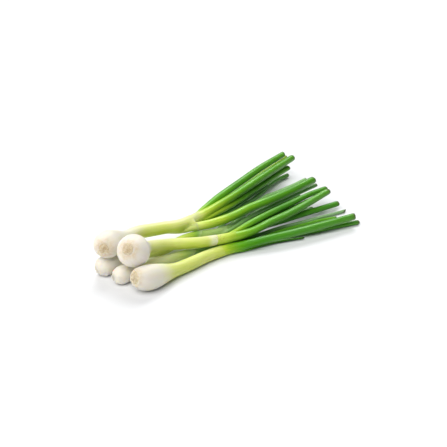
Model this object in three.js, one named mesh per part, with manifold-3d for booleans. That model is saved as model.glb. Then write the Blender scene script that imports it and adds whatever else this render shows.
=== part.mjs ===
// A bunch of five trimmed spring onions lying on a table.
// Millimetres, +Z up. The bulbs lie towards -X and the cut leaf tips towards +X.
// Each onion is a bulb drawn out into its false stem, a root plate with short trimmed roots,
// and hollow leaves that leave the end of the stem. Two bulbs ride on the other three.

import * as THREE from 'three';
import { mergeVertices } from 'three/addons/utils/BufferGeometryUtils.js';
import Module from 'manifold-3d';

const wasm = await Module();
wasm.setup();

// Driving dimensions, mm.
const GAP = 0.3; // clearance between two pieces that touch
const BULB_SIDES = 18;
const ROOT_RINGS = 4; // rings from the root rim to the bulb's widest place
const NECK_RINGS = 6; // rings from there to the end of the neck
const STEM_STEP = 14; // distance between rings along the stem
const SHEATH = 0.35; // thickness of the outermost sheath, which ends short of the stem's end
const END_CHAMFER = 0.6;
const LEAF_SIDES = 10;
const BORE_SIDES = 6;
const LEAF_STEP = 15;
const LEAF_WALL = 0.9;
const LEAF_SOLID = 45; // length of a leaf from its base that is not yet hollow
const LEAF_SWELL = 50; // length over which a leaf widens from its base
const LEAF_TALL = 0.92; // a leaf is a little lower than it is wide
const TIP_NARROWING = 0.1; // share of its width that a leaf loses towards its tip
const TIP_LENGTH = 65;
const SOLID_LEAF_RADIUS = 1.8; // a leaf thinner than this is not hollow
const BORE_START = 1; // how far the bore's point reaches back from its first ring
const BORE_OVERRUN = 8; // how far the tool that hollows a leaf runs past its tip
const CUT_LENGTH = 12; // length of leaf over which its rings lean into the slanted cut
const PLATE_DEPTH = 1.2; // depth of the root plate's seat in the bulb
const PLATE_CROWN = 0.9; // height of the root plate above the rim
const PLATE_BEND = { radius: 0.6, height: 0.75 }; // where the crown turns down, as shares
const ROOT_SIDES = 4;
const ROOT_SINK = 0.6; // how far a root stub stands in the plate
const ROOT_RADIUS = [0.44, 0.63]; // thinnest and thickest root stub
const ROOT_LENGTH = [0.9, 2]; // shortest and longest root stub above the plate
const ROOT_TAPER = 0.7;
const ROOT_REACH = 0.84; // share of the plate's radius that the root stubs cover
const ROOT_START = 0.5; // the first stub stands this many steps out in the spiral
const ROOT_SPLAY = 0.35; // how much the outer root stubs lean outwards
const ROOT_SWAY = 0.15; // largest chance lean of a root stub
const TABLE = { width: 400, depth: 300, thickness: 20 };

// Colours and how rough each surface is.
const BULB_LOOK = { color: 0xeef0dc, roughness: 0.45 };
const ROOT_LOOK = { color: 0xc8a877, roughness: 0.9 };
const LEAF_LOOK = { color: 0x4f9a35, roughness: 0.4 };

// One entry for each onion. A route lists points [x, y, z] on a centreline. An onion's own route
// starts at the middle of the root plate, passes the middle of the bulb at its second point, and
// runs on through the stem into the first leaf. The other leaves start inside the stem.
const ONIONS = [
  {
    name: 'front_onion',
    bulb: { radius: 12.5, neck: 38, rim: 7.2, plate: 5.6, roots: 14 },
    stem: { length: 122, radius: 6.7, endRadius: 5.4, sheathEnd: 10 },
    route: [
      [-138.5, -32, 18.2], [-123.5, -32.3, 12.7], [-103, -32, 9.6], [-86, -31.5, 7.4], [-68, -31, 6.9],
      [-50, -30, 6.6], [-32, -31, 6.2], [-17, -34, 6.2], [0, -41, 7.8], [14, -47, 9.6],
      [43, -57, 10.8], [78, -66, 11.3], [122, -75, 11.3],
    ],
    firstLeaf: { radius: 4.5, base: 4.5, cut: -0.2 },
    otherLeaves: [
      {
        radius: 3.1, base: 2.3, cut: 0.3,
        route: [
          [-24, -33, 5], [-6, -36.5, 3.6], [17, -39.5, 3.2], [50.6, -49.2, 3.1], [83.9, -61.1, 3.1],
          [128, -75.8, 2.45],
        ],
      },
      {
        radius: 1.9, base: 1.8, cut: 0.5,
        route: [
          [-27, -30, 5.5], [-6, -31, 3.8], [18, -33, 2.8], [48, -34.4, 2.3], [75.3, -39.6, 2.1],
          [101, -45.4, 2], [118.3, -51.8, 2],
        ],
      },
      {
        radius: 1.4, base: 1.3, cut: 0.3,
        route: [[-24, -34.5, 4], [-6, -40, 2], [15, -43.2, 1.6], [36, -49.6, 1.5], [59.6, -60.2, 1.5]],
      },
    ],
  },
  {
    name: 'top_onion',
    bulb: { radius: 16, neck: 25, rim: 6.4, plate: 5, roots: 13 },
    stem: { length: 128, radius: 6.2, endRadius: 5.4, sheathEnd: 9 },
    route: [
      [-135.4, -18.5, 42], [-124.3, -12.5, 34], [-100, -5, 26], [-80, -3, 20], [-65, -8, 17.8],
      [-48, -18, 17.2], [-32, -23, 16], [-16, -28, 15.6], [8, -33, 15.6], [37, -32, 16.4],
      [67, -32, 17.2], [100, -29, 18.4], [132, -26, 20.1],
    ],
    firstLeaf: { radius: 4.3, base: 4.8, cut: 0.15 },
    otherLeaves: [
      {
        radius: 3.5, base: 2.2, cut: 0.2,
        route: [
          [-26, -25, 16.5], [-8, -27, 18.9], [13, -27, 21.5], [44, -24, 21.5], [77, -20, 19.8],
          [110, -18, 20], [137, -18, 19],
        ],
      },
      {
        radius: 2.1, base: 1.8, cut: 0.3,
        route: [
          [-24, -26, 15], [-6, -25.5, 15.3], [12, -24.5, 16], [30, -23.5, 16.1], [48, -22.8, 15.6],
          [77, -21.3, 14.4], [108, -20, 14.8],
        ],
      },
    ],
  },
  {
    name: 'small_onion',
    bulb: { radius: 9, neck: 25, rim: 4.2, plate: 3.2, roots: 8 },
    stem: { length: 128, radius: 4.7, endRadius: 4.2, sheathEnd: 36 },
    route: [
      [-144.2, -4.7, 9.1], [-136, -6.6, 8.8], [-117, -4, 8], [-98, -4, 6.9], [-81, -8, 6],
      [-67, -10, 5.6], [-53, -12, 5.4], [-36, -14, 5.2], [-20, -18, 5], [2, -24, 4.2],
      [28, -27, 3.1], [54.8, -29.6, 2.5], [79.3, -35.5, 2.2], [111.7, -42.2, 2.1], [137.8, -48, 2.1],
    ],
    firstLeaf: { radius: 2.1, base: 3.6, cut: -1.2 },
    otherLeaves: [
      {
        radius: 3.8, base: 2.3, cut: 0.1,
        route: [
          [-28, -16, 6.5], [-14, -19, 9], [8, -24, 10], [30, -24, 10], [57.6, -26.5, 8.6],
          [85.2, -29.3, 7.8], [113.1, -32.9, 7.1], [137.7, -36.5, 7],
        ],
      },
      {
        radius: 3.1, base: 2, cut: 0.4,
        route: [
          [-28, -15, 5], [-10, -14, 4.2], [10, -13, 3.4], [45, -14, 3], [83, -18.6, 3],
          [112.5, -21.5, 3],
        ],
      },
    ],
  },
  {
    name: 'low_onion',
    bulb: { radius: 9.9, neck: 29, rim: 4.6, plate: 3.5, roots: 9 },
    stem: { length: 146, radius: 5.2, endRadius: 4.3, sheathEnd: 22 },
    route: [
      [-147.7, 19.1, 7.9], [-138.8, 17.4, 9.5], [-121, 17.2, 9.2], [-104, 15, 8], [-87, 10.5, 7],
      [-71, 6.8, 8], [-57, 6.5, 10.4], [-42, 8.2, 9.6], [-30, 6, 9.4], [-21, 1, 9.8],
      [-11, -3.2, 9.6], [1, -2.6, 8.7], [14, 2, 7.2], [32, 9, 7.4], [60, 20, 7.4],
      [86.2, 26.8, 7], [110.1, 27.5, 6.5], [126.6, 27.8, 6.8], [154, 29.2, 7.6],
    ],
    firstLeaf: { radius: 3.4, base: 3.7, cut: -0.2 },
    otherLeaves: [
      {
        radius: 2.6, base: 1.8, cut: 0.1,
        route: [
          [-16, -2.5, 9.4], [-3.5, -7.8, 9.4], [12.1, -5.8, 9.5], [46.2, 1.4, 10.4],
          [79.5, 3.6, 11], [110.1, 5, 11], [148, 7, 11],
        ],
      },
      {
        radius: 2.9, base: 2.3, cut: 0.4,
        route: [
          [-18, -0.5, 7.2], [-2, 6, 5.6], [20.7, 19.5, 5.4], [36, 29.5, 5], [54.2, 34.2, 4.6],
          [70.5, 35.8, 4.2], [97.8, 44.6, 4], [130.7, 56.8, 3.8], [154.1, 60.3, 3],
        ],
      },
      {
        radius: 2.2, base: 1.7, cut: 0.2,
        route: [
          [-16, -3.4, 7.8], [-3, -7.2, 4.4], [8.6, -5, 4.2], [22.6, -1.1, 4.5], [41, 3.1, 4.5],
          [58.3, 5.7, 4.6], [74.6, 6.8, 4.8], [90.1, 6.9, 5], [106.2, 7.2, 5], [122.1, 7, 5],
        ],
      },
    ],
  },
  {
    name: 'rear_onion',
    bulb: { radius: 13.5, neck: 33, rim: 5.8, plate: 4.6, roots: 11 },
    stem: { length: 138, radius: 7, endRadius: 6, sheathEnd: 10 },
    route: [
      [-145, 8, 35], [-135.6, 15.4, 33.2], [-110, 23, 28], [-90, 28, 25], [-76, 27, 22.9],
      [-60, 23, 21.8], [-46, 19, 20.8], [-30, 19, 20.5], [-15, 20, 21], [7, 23, 22.3],
      [42, 29, 24.3], [79, 36, 26.6], [118, 45, 27.4], [154, 53, 28.3],
    ],
    firstLeaf: { radius: 4.6, base: 5, cut: 0.1 },
    otherLeaves: [
      {
        radius: 5, base: 3.8, cut: 0.2,
        route: [
          [-58, 23, 18.3], [-45, 18, 16], [-30, 11.3, 17.1], [-15, 5, 17.7], [10, 1, 18.5], [38, 1, 20.2],
          [68, 0, 20.5], [99, 1, 20.5], [140, 5, 20.5],
        ],
      },
      {
        radius: 4.1, base: 2.4, cut: -0.3,
        route: [
          [-26, 20, 21.5], [-10, 26, 22.5], [8, 31, 23.8], [24, 34, 26.3], [62, 43, 28.6],
          [101, 52, 31], [149, 63, 31],
        ],
      },
      {
        radius: 3.9, base: 2.4, cut: 0.3,
        route: [
          [-26, 18, 20], [-12, 17, 18.2], [7, 20, 17.3], [42, 28, 16.2], [79, 37, 16.5],
          [120, 46, 18.2], [145, 51, 18.5],
        ],
      },
      {
        radius: 2.6, base: 2, cut: 0.3,
        route: [
          [-26, 21, 19.5], [-8, 29, 16.6], [20, 37, 16.2], [66, 48, 17.8], [106, 57, 19.6],
          [138, 65, 20.5], [162, 72, 21],
        ],
      },
      {
        radius: 2.2, base: 1.8, cut: 0.2,
        route: [
          [-26, 17, 18], [-12, 14.5, 15.4], [4, 17.5, 13], [16, 20.8, 11.9], [28.5, 24, 11],
          [51.7, 31.3, 10.1], [72.1, 37, 9.8], [92.3, 42, 9.6], [106, 44.8, 9.5],
        ],
      },
    ],
  },
];

const UP = new THREE.Vector3(0, 0, 1);
const WELD = 1e-4;
const stubAxis = new THREE.Vector3(0, 1, 0); // a three.js cylinder stands along Y

// A seeded draw, so that the bunch is the same every time.
let seed = 7;
function draw(low, high) {
  seed = (seed * 16807) % 2147483647;
  return low + (high - low) * (seed / 2147483647);
}

function smooth(share) {
  const t = THREE.MathUtils.clamp(share, 0, 1);
  return t * t * (3 - 2 * t);
}

function curveThrough(route) {
  return new THREE.CatmullRomCurve3(route.map(([x, y, z]) => new THREE.Vector3(x, y, z)));
}

// The place on a route at a distance from its start, with the axes across it. Before the start
// and past the end the route runs on straight.
function frameAt(curve, distance) {
  const length = curve.getLength();
  const share = THREE.MathUtils.clamp(distance / length, 0, 1);
  const tangent = curve.getTangentAt(share);
  const origin = curve.getPointAt(share).addScaledVector(tangent, distance - share * length);
  const side = new THREE.Vector3().crossVectors(tangent, UP).normalize();
  const top = new THREE.Vector3().crossVectors(side, tangent);
  return { origin, tangent, side, top };
}

// A closed turned body whose axis is bent along a route. The profile lists [radius, distance].
function turnedAlong(curve, profile, sides, tall = 1, slant = 0) {
  const length = curve.getLength();
  const outline = profile.map(([radius, distance]) => new THREE.Vector2(radius, distance));
  const geometry = new THREE.LatheGeometry(outline, sides);
  const position = geometry.attributes.position;
  for (let i = 0; i < position.count; i += 1) {
    const across = position.getX(i);
    const along = position.getY(i);
    const lean = slant * across * smooth(1 - (length - along) / CUT_LENGTH);
    const { origin, side, top } = frameAt(curve, along + lean);
    origin.addScaledVector(side, across).addScaledVector(top, position.getZ(i) * tall);
    position.setXYZ(i, origin.x, origin.y, origin.z);
  }
  return toSolid(geometry);
}

// A manifold solid from a closed three.js geometry.
function toSolid(geometry) {
  geometry.deleteAttribute('normal');
  geometry.deleteAttribute('uv');
  const merged = mergeVertices(geometry, WELD);
  const triVerts = [];
  for (let i = 0; i < merged.index.count; i += 3) {
    const [a, b, c] = [0, 1, 2].map((corner) => merged.index.getX(i + corner));
    if (a !== b && b !== c && c !== a) {
      triVerts.push(a, b, c);
    }
  }
  const mesh = new wasm.Mesh({
    numProp: 3,
    vertProperties: new Float32Array(merged.attributes.position.array),
    triVerts: new Uint32Array(triVerts),
  });
  return new wasm.Manifold(mesh);
}

function toMesh(name, solid, look) {
  const { vertProperties, triVerts } = solid.getMesh();
  const geometry = new THREE.BufferGeometry();
  geometry.setAttribute('position', new THREE.BufferAttribute(vertProperties, 3));
  geometry.setIndex(new THREE.BufferAttribute(triVerts, 1));
  geometry.computeVertexNormals();
  const mesh = new THREE.Mesh(geometry, new THREE.MeshStandardMaterial({ ...look, metalness: 0 }));
  mesh.name = name;
  return mesh;
}

// The bulb and its stem in one outline. The root half is part of an ellipse that starts at the
// rim round the root plate, the neck falls away in a cosine, and the stem then narrows slowly.
function bulbProfile({ bulb, stem, route }, swell) {
  const [root, middle] = route.map((point) => new THREE.Vector3(...point));
  const half = root.distanceTo(middle);
  const seat = bulb.plate + GAP - swell;
  const profile = [[0, PLATE_DEPTH + swell], [seat, PLATE_DEPTH + swell], [seat, -swell]];
  const squash = 1 - (bulb.rim / bulb.radius) ** 2;
  for (let ring = 0; ring <= ROOT_RINGS; ring += 1) {
    const back = Math.cos((Math.PI / 2) * (ring / ROOT_RINGS));
    profile.push([bulb.radius * Math.sqrt(1 - squash * back * back) + swell, half * (1 - back)]);
  }
  for (let ring = 1; ring <= NECK_RINGS; ring += 1) {
    const share = ring / NECK_RINGS;
    const fall = (1 + Math.cos(Math.PI * share)) / 2;
    profile.push([stem.radius + (bulb.radius - stem.radius) * fall + swell, half + bulb.neck * share]);
  }
  const neckEnd = half + bulb.neck;
  const edge = stem.length - stem.sheathEnd;
  const radiusAt = (distance) => {
    const narrowed = THREE.MathUtils.mapLinear(distance, neckEnd, stem.length, stem.radius, stem.endRadius);
    return narrowed + swell;
  };
  for (let distance = neckEnd + STEM_STEP; distance < edge - STEM_STEP / 2; distance += STEM_STEP) {
    profile.push([radiusAt(distance), distance]);
  }
  profile.push([radiusAt(edge), edge + swell], [radiusAt(edge) - SHEATH, edge + SHEATH + swell]);
  for (let distance = edge + STEM_STEP; distance < stem.length - STEM_STEP / 2; distance += STEM_STEP) {
    profile.push([radiusAt(distance) - SHEATH, distance]);
  }
  const end = radiusAt(stem.length) - SHEATH;
  const top = stem.length + swell;
  profile.push([end, top - END_CHAMFER], [end - END_CHAMFER, top], [0, top]);
  return profile;
}

// A root plate in its seat, with short trimmed roots in a sunflower pattern.
function rootPlate(bulb, curve) {
  const seatDepth = PLATE_DEPTH - GAP;
  let plate = turnedAlong(curve, [
    [0, -PLATE_CROWN], [bulb.plate * PLATE_BEND.radius, -PLATE_CROWN * PLATE_BEND.height],
    [bulb.plate, 0], [bulb.plate, seatDepth], [0, seatDepth],
  ], BULB_SIDES);
  const { origin, tangent, side, top } = frameAt(curve, 0);
  const golden = Math.PI * (3 - Math.sqrt(5));
  for (let root = 0; root < bulb.roots; root += 1) {
    const share = ROOT_REACH * Math.sqrt((root + ROOT_START) / bulb.roots);
    const spread = side.clone().multiplyScalar(share * Math.cos(root * golden));
    spread.addScaledVector(top, share * Math.sin(root * golden));
    const height = draw(...ROOT_LENGTH) + ROOT_SINK;
    const width = draw(...ROOT_RADIUS);
    const outward = spread.clone().multiplyScalar(ROOT_SPLAY).sub(tangent);
    outward.addScaledVector(side, draw(-ROOT_SWAY, ROOT_SWAY));
    outward.addScaledVector(top, draw(-ROOT_SWAY, ROOT_SWAY)).normalize();
    const centre = origin.clone().addScaledVector(spread, bulb.plate);
    centre.addScaledVector(tangent, -PLATE_CROWN * (1 - share * share));
    centre.addScaledVector(outward, height / 2 - ROOT_SINK);
    const stub = new THREE.CylinderGeometry(width * ROOT_TAPER, width, height, ROOT_SIDES);
    stub.applyQuaternion(new THREE.Quaternion().setFromUnitVectors(stubAxis, outward));
    stub.translate(centre.x, centre.y, centre.z);
    plate = plate.add(toSolid(stub));
  }
  return plate;
}

// The outside of a leaf from a start on its curve to its cut tip, as profile points.
function leafOutside(leaf, curve, start, swell) {
  const length = curve.getLength();
  const count = Math.round((length - start) / LEAF_STEP);
  return Array.from({ length: count + 1 }, (_, ring) => {
    const distance = THREE.MathUtils.lerp(start, length, ring / count);
    const grown = THREE.MathUtils.lerp(leaf.base, leaf.radius, smooth((distance - start) / LEAF_SWELL));
    const narrowed = grown * (1 - TIP_NARROWING * smooth((distance - length) / TIP_LENGTH + 1));
    return [narrowed + swell, distance];
  });
}

// A leaf, solid where it leaves the stem and hollow from there to its cut tip. The thinnest kind
// is solid all along.
function leafSolid(leaf, curve, start) {
  const outside = leafOutside(leaf, curve, start, 0);
  const tip = curve.getLength();
  const body = turnedAlong(curve, [[0, start], ...outside, [0, tip]], LEAF_SIDES, LEAF_TALL, leaf.cut);
  if (leaf.radius < SOLID_LEAF_RADIUS) {
    return body;
  }
  const inside = outside.filter(([, distance]) => distance > start + LEAF_SOLID);
  const wall = inside.map(([radius, distance]) => [radius - LEAF_WALL, distance]);
  const mouth = [wall.at(-1)[0], tip + BORE_OVERRUN];
  const bore = [[0, wall[0][1] - BORE_START], ...wall.slice(0, -1), mouth, [0, mouth[1]]];
  return body.subtract(turnedAlong(curve, bore, BORE_SIDES, LEAF_TALL));
}

// The space that a leaf takes with the gap around it.
function leafSpace(leaf, curve, start) {
  const outside = leafOutside(leaf, curve, start, GAP);
  const base = [outside[0][0], start - GAP];
  const tip = curve.getLength() + GAP;
  return turnedAlong(curve, [[0, start - GAP], base, ...outside, [0, tip]], LEAF_SIDES, LEAF_TALL);
}

const tableBlock = new THREE.BoxGeometry(TABLE.width, TABLE.depth, TABLE.thickness);
tableBlock.translate(0, 0, -TABLE.thickness / 2);
const table = toSolid(tableBlock);

function onionMeshes(onion) {
  const curve = curveThrough(onion.route);
  const bulb = turnedAlong(curve, bulbProfile(onion, 0), BULB_SIDES).subtract(table);
  const roots = rootPlate(onion.bulb, curve).subtract(table);
  const leaves = [
    { ...onion.firstLeaf, curve, start: onion.stem.length + GAP },
    ...onion.otherLeaves.map((leaf) => ({ ...leaf, curve: curveThrough(leaf.route), start: 0 })),
  ];
  let taken = turnedAlong(curve, bulbProfile(onion, GAP), BULB_SIDES).add(table);
  const leafMeshes = leaves.map((leaf, index) => {
    const solid = leafSolid(leaf, leaf.curve, leaf.start).subtract(taken);
    taken = taken.add(leafSpace(leaf, leaf.curve, leaf.start));
    return toMesh(`${onion.name}_leaf_${index + 1}`, solid, LEAF_LOOK);
  });
  return [
    toMesh(`${onion.name}_bulb`, bulb, BULB_LOOK),
    toMesh(`${onion.name}_roots`, roots, ROOT_LOOK),
    ...leafMeshes,
  ];
}

const bunch = new THREE.Group();
bunch.name = 'spring_onion_bunch';
ONIONS.forEach((onion) => bunch.add(...onionMeshes(onion)));

// The origin is under the middle of the bunch, on the table.
const middle = new THREE.Box3().setFromObject(bunch).getCenter(new THREE.Vector3());
bunch.position.set(-middle.x, -middle.y, 0);
bunch.updateMatrixWorld(true);

export default bunch;
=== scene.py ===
"""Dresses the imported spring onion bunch: smooth bulbs and stems, sheath rims, root stubs, hollow leaves."""

import math

import bpy
import mathutils
import numpy as np
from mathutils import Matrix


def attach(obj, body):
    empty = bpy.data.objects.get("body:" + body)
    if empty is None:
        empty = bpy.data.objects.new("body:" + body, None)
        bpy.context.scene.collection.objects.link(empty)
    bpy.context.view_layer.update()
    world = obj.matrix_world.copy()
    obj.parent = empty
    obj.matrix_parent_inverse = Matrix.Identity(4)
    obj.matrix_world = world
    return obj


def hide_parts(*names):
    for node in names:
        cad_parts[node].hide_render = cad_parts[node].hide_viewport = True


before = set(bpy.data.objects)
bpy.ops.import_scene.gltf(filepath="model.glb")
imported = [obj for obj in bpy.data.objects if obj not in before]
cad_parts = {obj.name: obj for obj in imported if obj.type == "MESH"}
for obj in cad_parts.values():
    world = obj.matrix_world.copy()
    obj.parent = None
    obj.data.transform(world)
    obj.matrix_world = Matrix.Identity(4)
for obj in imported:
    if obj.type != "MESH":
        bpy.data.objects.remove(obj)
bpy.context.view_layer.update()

SEED = 20
MM = 0.001
SHIFT = np.array([-6.2926, 2.3342, 0.0])  # mm, from the frame of the routes below to the part's frame

# The camera, in mm in the routes' frame.
CAMERA_AT = np.array([-550.3, -633.05, 461.0])
CAMERA_TARGET = np.array([0.0, 0.0, 15.0])
LENS = 72.48
SENSOR = 36
VIEW_TURN = math.radians(41)  # the camera looks along +Y turned clockwise by this, seen from above

# Lengths from here on are in mm. These are the solids' own.
LEAF_SOLID = 45.0  # length of a leaf from its base that is not yet hollow
SOLID_LEAF_RADIUS = 1.8  # a leaf thinner than this is not hollow
LEAF_SWELL = 50.0  # length over which a leaf widens from its base
LEAF_TALL = 0.92  # a leaf is a little lower than it is wide
TIP_NARROWING = 0.1  # share of its width that a leaf loses towards its tip
TIP_LENGTH = 65.0
CUT_LENGTH = 12.0  # length of leaf over which its rings lean into the slanted cut
PLATE_CROWN = 0.9  # height of the root plate above the rim

# Leaves.
LEAF_SIDES = 64
LEAF_STEP = 1.6  # distance between rings
INNER_START = 14.0  # how far inside the stem's mouth the first leaf begins
MOUTH_BLEND = 26.0  # length over which the first leaf narrows from the mouth to its own radius
LEAF_WAVE, LEAF_TRIM = 0.022, 0.012  # shares of the radius: how far from round, and taken off for it
LEAF_RIDGE = 0.03
LEAF_TWIST = 0.25  # largest turn of the ridges round the leaf, in radians
PINCH, PINCH_LENGTH = 0.05, 2.5  # share of the width that the cut end draws in
RAGGED, RAGGED_LENGTH = 0.12, 3  # unevenness of the cut
LEAF_WALL = 0.8
WALL_THINNING, THIN_LENGTH = 0.25, 4  # share of the wall that is lost at the cut
LIP_HEIGHT = 0.12
LIP_RINGS = [(0.17, 0.3), (0.83, 0.7)]  # share of the way across the wall, and of the inner colour
BORE_INSET = 0.05
BROWN_TIP = (0.8, 3.0)  # how brown the cut edge is, and how far the brown reaches
BROWN_UNEVEN, BROWN_FALL = 0.5, 1.3  # how uneven its reach is, and how fast it fades
NEAR_STEM = 25.0  # only this near a stem may a leaf's route cross the stem's section
ON_SECTION = 1.0  # a point of the route that is this near the section lies on it
STEM_GAP = 0.3  # between the stem's solid and the first leaf's

# Bulbs and stems.
BULB_SIDES = 144
SHEATH = 0.22  # height of the step at a sheath's rim
SEAT_RINGS = [(1.3, -0.5), (0.5, 0.05), (0.0, 0.35)]  # distance, and radius past the root plate's
END_ROUNDING, END_RISE = 0.25, 0.16  # of the bulb's end between its seat and its rim
END_RINGS = (0.12, 3, 9)  # the first, the last and the number of the close rings at the root end
BODY_START, BODY_STEP, STEM_STEP = 4, 1.0, 1.7  # where the wider rings start, and their distances
BEFORE_RIM, AFTER_RIM = (-2.4, -1.6, -0.8, -0.3), (0.8, 1.6)  # extra rings near a rim
# Rings at a rim: distance past it, rims passed, inset, edge. At the mouth: distance, inset, edge.
RIM_RINGS = [(0.0, 0, 0.0, 1), (0.12, 0, 0.1, 1), (0.1, 1, 0.0, 0)]
MOUTH_RINGS = [(0.0, 0.0, 1), (0.1, 0.08, 1), (-0.5, 0.22, 0.5), (-3, 0.5, 0), (-6, 1.2, 0), (-7, 3.0, 0)]
CAP_INSET, CAP_SHARE = 3.0, 0.3  # the ring at this inset shrinks to close the mouth's floor
MOUTH_ROOM = 1.2 * SHEATH  # between the mouth and the first leaf
LOBES, OVAL = 0.010, 0.012  # shares of the radius: waves of the bulb and of the stem
LOBE_REACH = 1.2  # in bulb half lengths
RIBS = {"ribs": (0.05, 6), "fine": (0.02, 8)}  # height, and length over which they rise
PUCKER = (0.14, 2.5, 3)  # height, place and length of the folds near the root end
SLANT_LENGTH = 18  # length of stem that leans with a slanted rim
RIM_RAGGED, RIM_LENGTH = 0.35, 3
WRAP_ROOM, WRAP_LENGTH = 0.2, 14  # past the stem's end the sheath narrows to the first leaf
HELD_SHARE, HELD_ROOM = 0.97, 0.15  # how tightly the sheath wraps the leaves that it holds
WIDEST_TURN = 0.17  # cosine of the widest turn over which a stretched skin is followed
PAPER_RISE = 1.6  # how fast the papery share becomes full
BLUSH_LENGTH = 2.2
BLUSH_EDGE, BLUSH_UNEVEN = 0.3, 0.25  # shares of it that only the edge has, and that vary round the stem
BLUSH_PAST = 0.5  # share of it that the next sheath has
THIN_SKIN = 9  # length of skin before the mouth that is thin
EARTH_LENGTH, EARTH_UNEVEN = 2.6, 0.8
PAINTED_SHADE_START, PAINTED_SHADE_END = 30, 25  # lengths over which the painted shade on one side of the stem comes and goes

# The curled flap of torn sheath.
FLAP_RINGS, FLAP_POINTS, FLAP_THICK = 12, 7, 0.25
FLAP_RADIUS = 5  # of the stem under it, about
FLAP_TAPER, FLAP_BACK = 0.6, 0.25  # shares of its width and length that its tip loses
FLAP_GAP, FLAP_LIFT, FLAP_CUP = 0.1, 1.7, 0.4  # how high its foot, its top and its sides stand
FLAP_ROLL = 2.2  # radians
FLAP_GREEN, FLAP_DRY = 0.3, 0.4

# Root plates.
ROOT_RINGS, ROOT_SIDES = 14, 48
PLATE_FOLDS, PLATE_RIPPLES, PLATE_ROUGH = 0.12, 0.08, 0.03  # heights
RIPPLE_TURN = 21  # radians of the ripples, from the plate's middle to its rim
PLATE_UNEVEN = 0.02  # share of the radius
DRIED_MIDDLE, DRIED_REACH = 0.75, 0.42  # how dried the plate's middle is, and how far out, as a share
STUB_RINGS, STUB_SIDES = 5, 7
ROOT_REACH = 0.9  # share of the plate's radius that the stubs cover
STUB_LENGTH, STUB_WIDTH = (0.5, 1.9), (0.2, 0.36)
SHORT_WITHIN, SHORT = 0.3, 0.75  # share of the plate whose stubs are short, and their share of the length
STUB_SINK = 0.4
STUB_LEAN = (0.3, 0.5)  # outward lean in the middle, and what the rim adds
STUB_BEND = 0.35
STUB_TAPER, STUB_END = (1.25, 0.55), 0.6  # shares of the width: of the foot, lost by the tip, of the end
STUB_DRIED = 0.4  # how dried a stub's foot is, as a share of its tip
STUB_SWAY, STUB_TURN = 0.35, 0.15  # largest chance lean, and chance turn from its place in the spiral
GOLDEN = math.pi * (3 - math.sqrt(5))
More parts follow.
